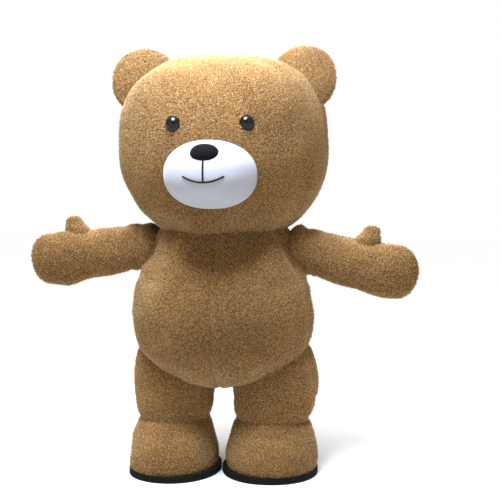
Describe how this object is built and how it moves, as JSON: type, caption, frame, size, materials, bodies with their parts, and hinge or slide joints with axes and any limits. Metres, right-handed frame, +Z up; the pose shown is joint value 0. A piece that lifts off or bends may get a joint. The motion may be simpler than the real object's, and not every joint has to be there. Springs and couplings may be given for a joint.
{
  "type": "bear mascot costume",
  "caption": "Hollow plush bear mascot costume in its worn pose: suit with mitten sleeves, fur boots with rubber soles, and a large separate head.",
  "frame": {"origin": "between the wearer's shoulders, at the height of the suit's shoulder, 1.18 m above the floor", "axes": "+Z up, the bear faces -Y, +X is the wearer's left"},
  "size_m": [1.8, 1.0058, 1.9774],
  "materials": {
    "plush_tan": "curly short-pile plush",
    "plush_white": "smooth short-nap plush",
    "felt_black": "matte felt",
    "eye_black": "polished",
    "rubber_black": "matte"
  },
  "bodies": {
    "root": {"head_front": "plush_tan", "head_back": "plush_tan", "ear_left": "plush_tan", "ear_right": "plush_tan", "body_front_left": "plush_tan", "body_front_right": "plush_tan", "body_back_left": "plush_tan", "body_back_right": "plush_tan", "sleeve_left_front": "plush_tan", "sleeve_left_back": "plush_tan", "sleeve_right_front": "plush_tan", "sleeve_right_back": "plush_tan", "thumb_left": "plush_tan", "thumb_right": "plush_tan", "leg_left": "plush_tan", "leg_right": "plush_tan", "boot_left": "plush_tan", "boot_right": "plush_tan", "muzzle": "plush_white", "nose": "felt_black", "mouth_upright": "felt_black", "mouth_smile": "felt_black", "eye_left": "eye_black", "eye_right": "eye_black", "sole_left": "rubber_black", "sole_right": "rubber_black"}
  },
  "joints": []
}
